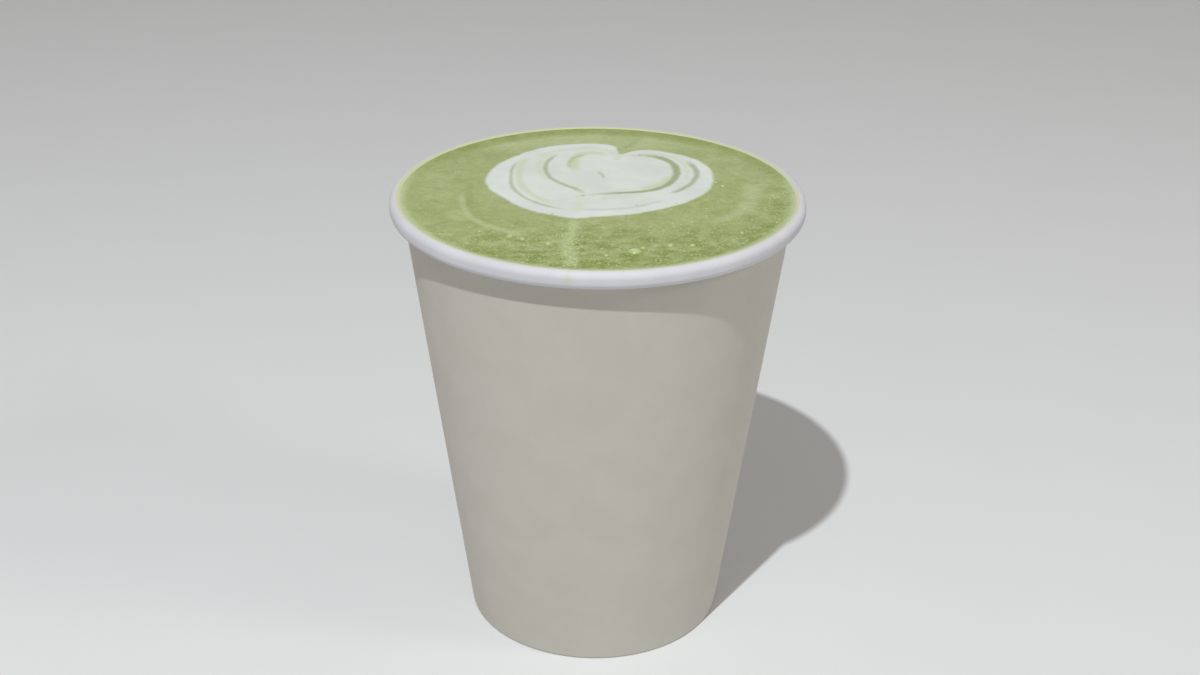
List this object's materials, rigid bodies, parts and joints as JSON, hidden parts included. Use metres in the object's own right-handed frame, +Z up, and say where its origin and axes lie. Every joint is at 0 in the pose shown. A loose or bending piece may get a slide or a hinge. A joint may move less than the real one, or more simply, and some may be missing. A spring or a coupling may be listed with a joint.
{
  "type": "matcha latte in a paper cup",
  "caption": "Brim-full matcha latte with layered white heart latte art, in a plain off-white paper cup with a rolled rim.",
  "frame": {"origin": "centre of the foot's ring, on the surface that the cup stands on", "axes": "+Z up along the cup's axis; the front of the latte art faces -Y and the side seam is at +Y"},
  "size_m": [0.09, 0.09, 0.102],
  "materials": {
    "cup_board": "matte off-white printed paperboard, white on the rolled rim",
    "base_board": "uncoated white paperboard",
    "matcha": "fine green milk foam with a white heart in it, soft satin"
  },
  "bodies": {
    "root": {"cup_wall": "cup_board", "cup_base": "base_board", "matcha_latte": "matcha"}
  },
  "joints": []
}
